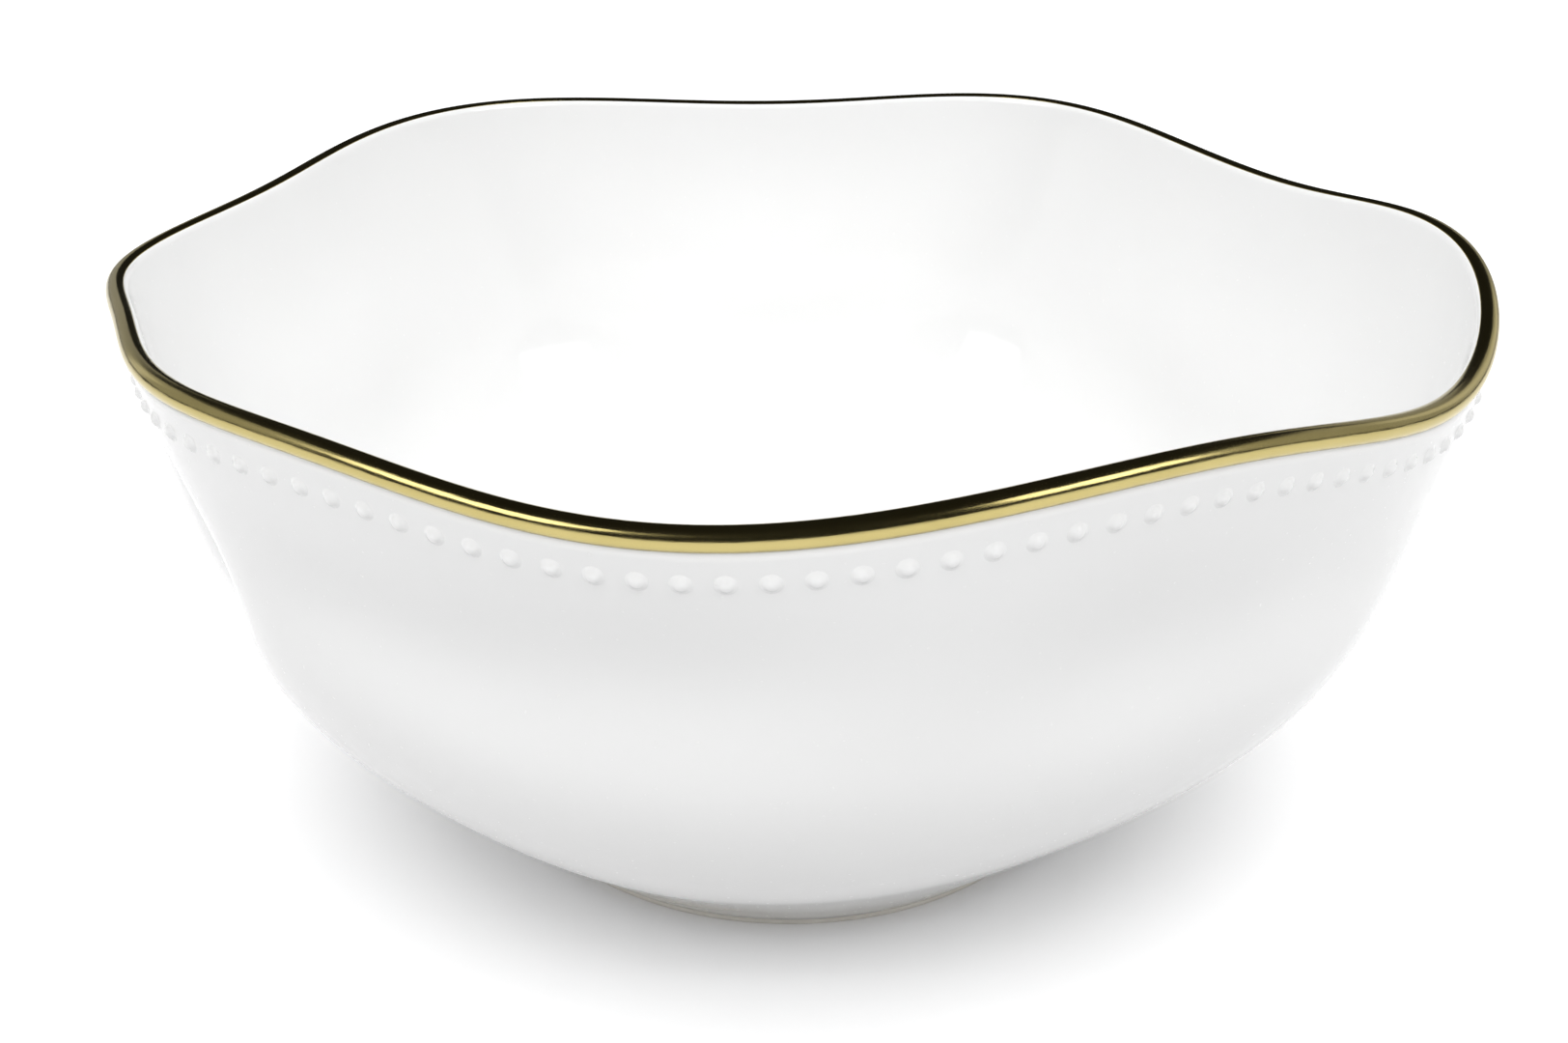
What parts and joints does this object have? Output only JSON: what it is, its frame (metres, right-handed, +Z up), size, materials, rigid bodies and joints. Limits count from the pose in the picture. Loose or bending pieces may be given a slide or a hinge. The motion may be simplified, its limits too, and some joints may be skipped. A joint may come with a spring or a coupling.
{
  "type": "serving bowl",
  "caption": "Deep white porcelain serving bowl with a wavy lobed rim, gold plated rolled edge, a row of raised beads and a low foot.",
  "frame": {"origin": "middle of the foot, on the surface that the bowl stands on", "axes": "+Z up out of the bowl's mouth; -Y towards the main front lobe of the rim; +X to the right of it"},
  "size_m": [0.304, 0.2764, 0.1438],
  "materials": {
    "porcelain": "fired porcelain under the glaze",
    "biscuit": "bare fired porcelain, ground smooth",
    "glaze": "clear gloss glaze over white porcelain",
    "gold": "polished gold fired on over the glaze"
  },
  "bodies": {
    "root": {"porcelain_body": "porcelain", "foot_ring": "biscuit", "outer_glaze": "glaze", "inner_glaze": "glaze", "base_glaze": "glaze", "gold_rim": "gold", "bead_row": "glaze"}
  },
  "joints": []
}
